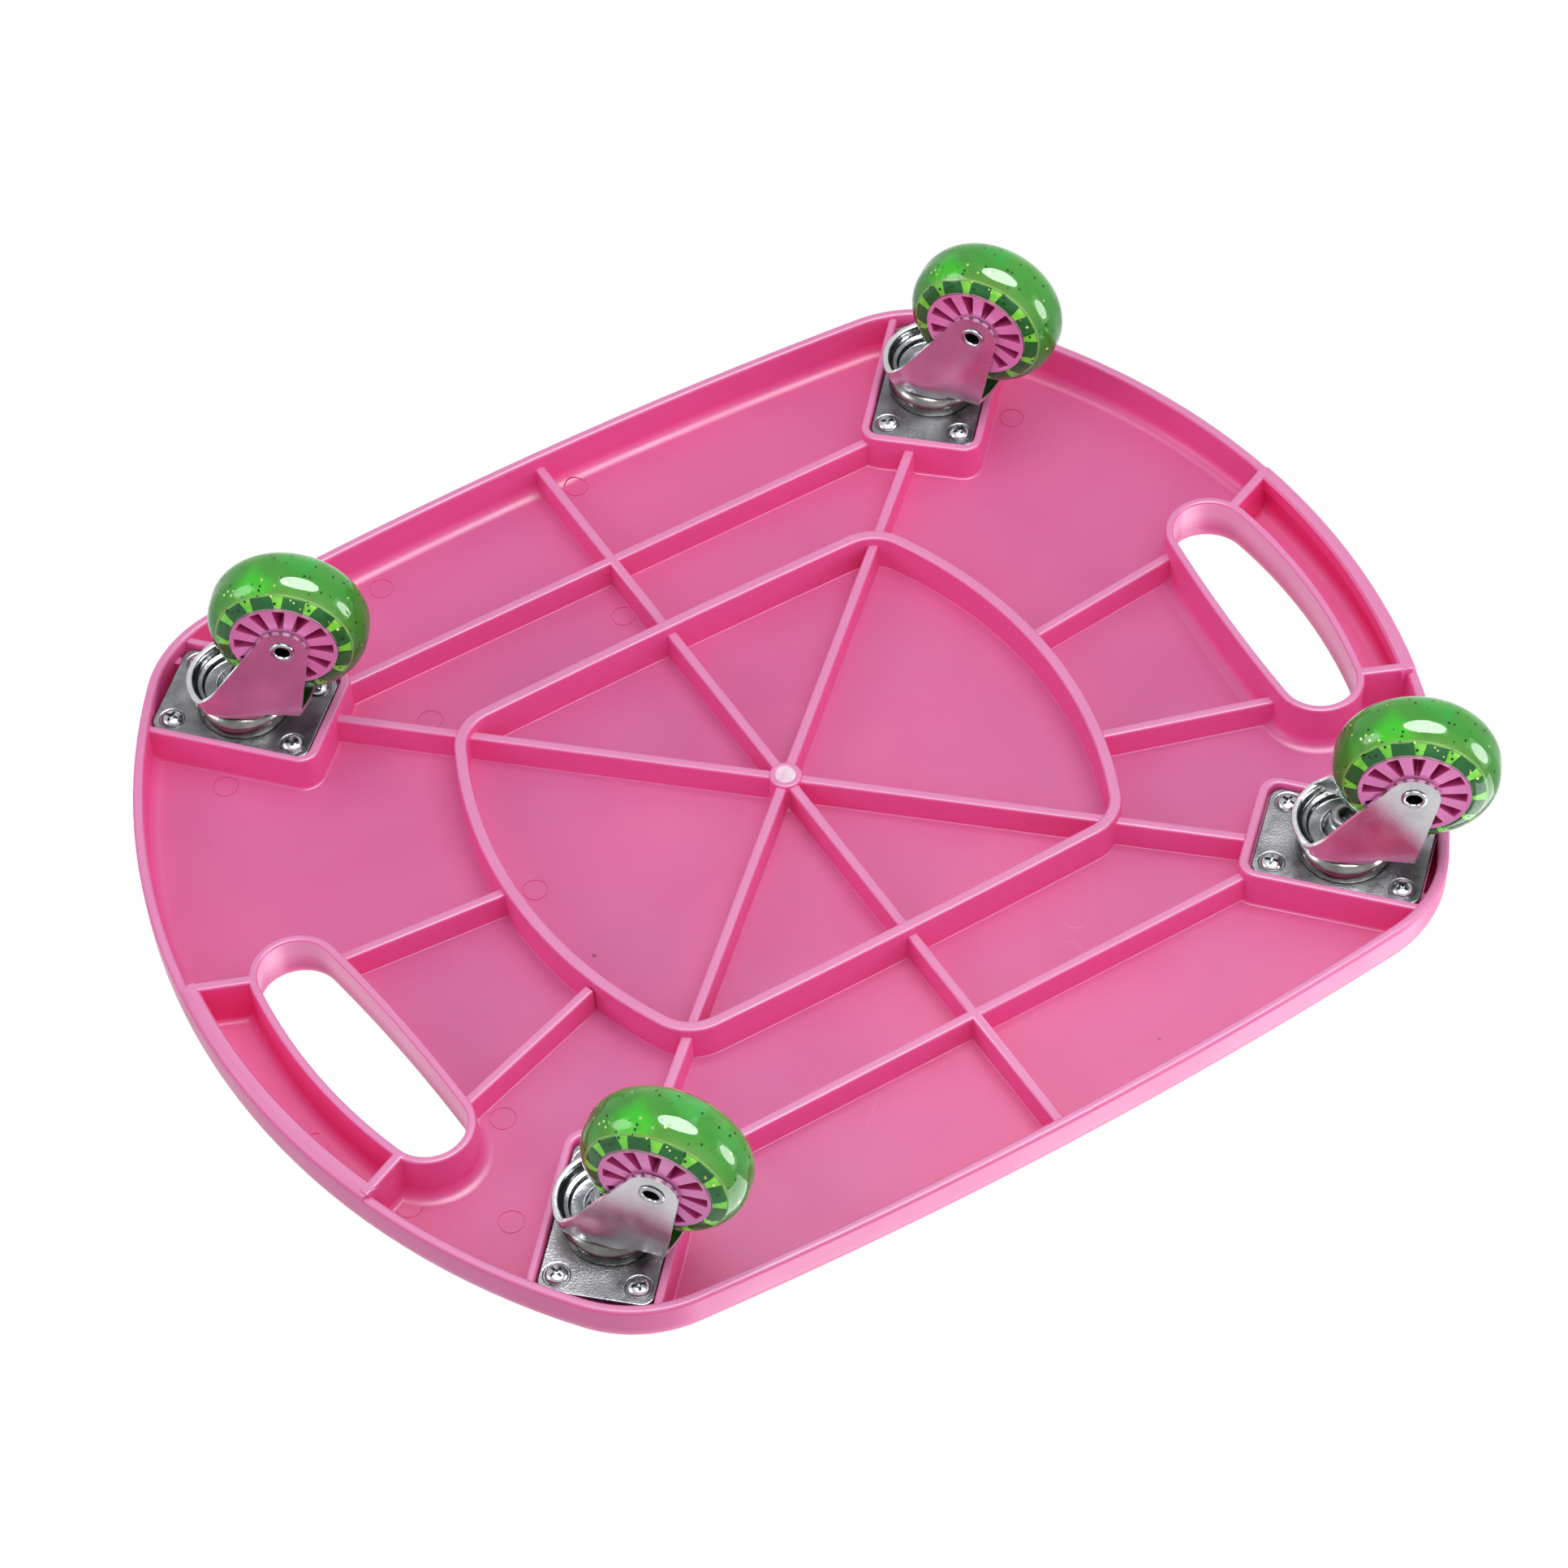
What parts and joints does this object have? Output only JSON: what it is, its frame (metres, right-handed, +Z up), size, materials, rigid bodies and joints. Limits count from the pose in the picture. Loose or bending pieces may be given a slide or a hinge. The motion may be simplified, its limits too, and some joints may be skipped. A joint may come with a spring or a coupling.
{
  "type": "scooter board",
  "caption": "Low four-wheeled board: a ribbed moulded plastic deck with rounded corners and hand slots, on swivelling plate casters with clear cast tyres.",
  "frame": {"origin": "on the ground under the middle of the deck, with the wheels standing on z = 0", "axes": "+X along the long side, towards the right-hand slot; +Y towards the front, the side that the two hand slots lie nearer to; +Z up, out of the deck's top"},
  "size_m": [0.406, 0.324, 0.0816],
  "materials": {
    "deck_plastic": "pink moulded polypropylene, satin gloss",
    "hub_plastic": "pink moulded plastic, satin gloss",
    "tyre_urethane": "clear green cast polyurethane with glitter specks, glossy",
    "plate_steel": "zinc-plated pressed steel, satin",
    "plated_steel": "zinc-plated steel, bright",
    "chrome": "bright plated steel"
  },
  "bodies": {
    "board": {"deck": "deck_plastic", "mount_plate_rear_left": "plate_steel", "ball_race_rear_left": "plated_steel", "kingpin_rear_left": "plated_steel", "screw_1_rear_left": "chrome", "screw_2_rear_left": "chrome", "screw_3_rear_left": "chrome", "screw_4_rear_left": "chrome", "mount_plate_rear_right": "plate_steel", "ball_race_rear_right": "plated_steel", "kingpin_rear_right": "plated_steel", "screw_1_rear_right": "chrome", "screw_2_rear_right": "chrome", "screw_3_rear_right": "chrome", "screw_4_rear_right": "chrome", "mount_plate_front_right": "plate_steel", "ball_race_front_right": "plated_steel", "kingpin_front_right": "plated_steel", "screw_1_front_right": "chrome", "screw_2_front_right": "chrome", "screw_3_front_right": "chrome", "screw_4_front_right": "chrome", "mount_plate_front_left": "plate_steel", "ball_race_front_left": "plated_steel", "kingpin_front_left": "plated_steel", "screw_1_front_left": "chrome", "screw_2_front_left": "chrome", "screw_3_front_left": "chrome", "screw_4_front_left": "chrome"},
    "swivel_rear_left": {"fork_rear_left": "chrome", "axle_rivet_rear_left": "chrome", "axle_spacer_rear_left": "plated_steel"},
    "wheel_rear_left": {"wheel_hub_rear_left": "hub_plastic", "tyre_rear_left": "tyre_urethane", "bearing_left_rear_left": "plated_steel", "bearing_right_rear_left": "plated_steel"},
    "swivel_rear_right": {"fork_rear_right": "chrome", "axle_rivet_rear_right": "chrome", "axle_spacer_rear_right": "plated_steel"},
    "wheel_rear_right": {"wheel_hub_rear_right": "hub_plastic", "tyre_rear_right": "tyre_urethane", "bearing_left_rear_right": "plated_steel", "bearing_right_rear_right": "plated_steel"},
    "swivel_front_right": {"fork_front_right": "chrome", "axle_rivet_front_right": "chrome", "axle_spacer_front_right": "plated_steel"},
    "wheel_front_right": {"wheel_hub_front_right": "hub_plastic", "tyre_front_right": "tyre_urethane", "bearing_left_front_right": "plated_steel", "bearing_right_front_right": "plated_steel"},
    "swivel_front_left": {"fork_front_left": "chrome", "axle_rivet_front_left": "chrome", "axle_spacer_front_left": "plated_steel"},
    "wheel_front_left": {"wheel_hub_front_left": "hub_plastic", "tyre_front_left": "tyre_urethane", "bearing_left_front_left": "plated_steel", "bearing_right_front_left": "plated_steel"}
  },
  "joints": [
    {"name": "swivel_turn_rear_left", "type": "hinge", "parent": "board", "child": "swivel_rear_left", "pos_m": [-0.131, -0.1185, 0.06], "axis": [0, 0, 1], "continuous": true},
    {"name": "wheel_spin_rear_left", "type": "hinge", "parent": "swivel_rear_left", "child": "wheel_rear_left", "pos_m": [-0.11583, -0.10707, 0.0254], "axis": [-0.6018, 0.7986, 0], "continuous": true},
    {"name": "swivel_turn_rear_right", "type": "hinge", "parent": "board", "child": "swivel_rear_right", "pos_m": [0.131, -0.1185, 0.06], "axis": [0, 0, 1], "continuous": true},
    {"name": "wheel_spin_rear_right", "type": "hinge", "parent": "swivel_rear_right", "child": "wheel_rear_right", "pos_m": [0.14203, -0.10303, 0.0254], "axis": [-0.8141, 0.5807, 0], "continuous": true},
    {"name": "swivel_turn_front_right", "type": "hinge", "parent": "board", "child": "swivel_front_right", "pos_m": [0.131, 0.1185, 0.06], "axis": [0, 0, 1], "continuous": true},
    {"name": "wheel_spin_front_right", "type": "hinge", "parent": "swivel_front_right", "child": "wheel_front_right", "pos_m": [0.14566, 0.13059, 0.0254], "axis": [-0.6361, 0.7716, 0], "continuous": true},
    {"name": "swivel_turn_front_left", "type": "hinge", "parent": "board", "child": "swivel_front_left", "pos_m": [-0.131, 0.1185, 0.06], "axis": [0, 0, 1], "continuous": true},
    {"name": "wheel_spin_front_left", "type": "hinge", "parent": "swivel_front_left", "child": "wheel_front_left", "pos_m": [-0.11891, 0.13316, 0.0254], "axis": [-0.7716, 0.6361, 0], "continuous": true}
  ]
}
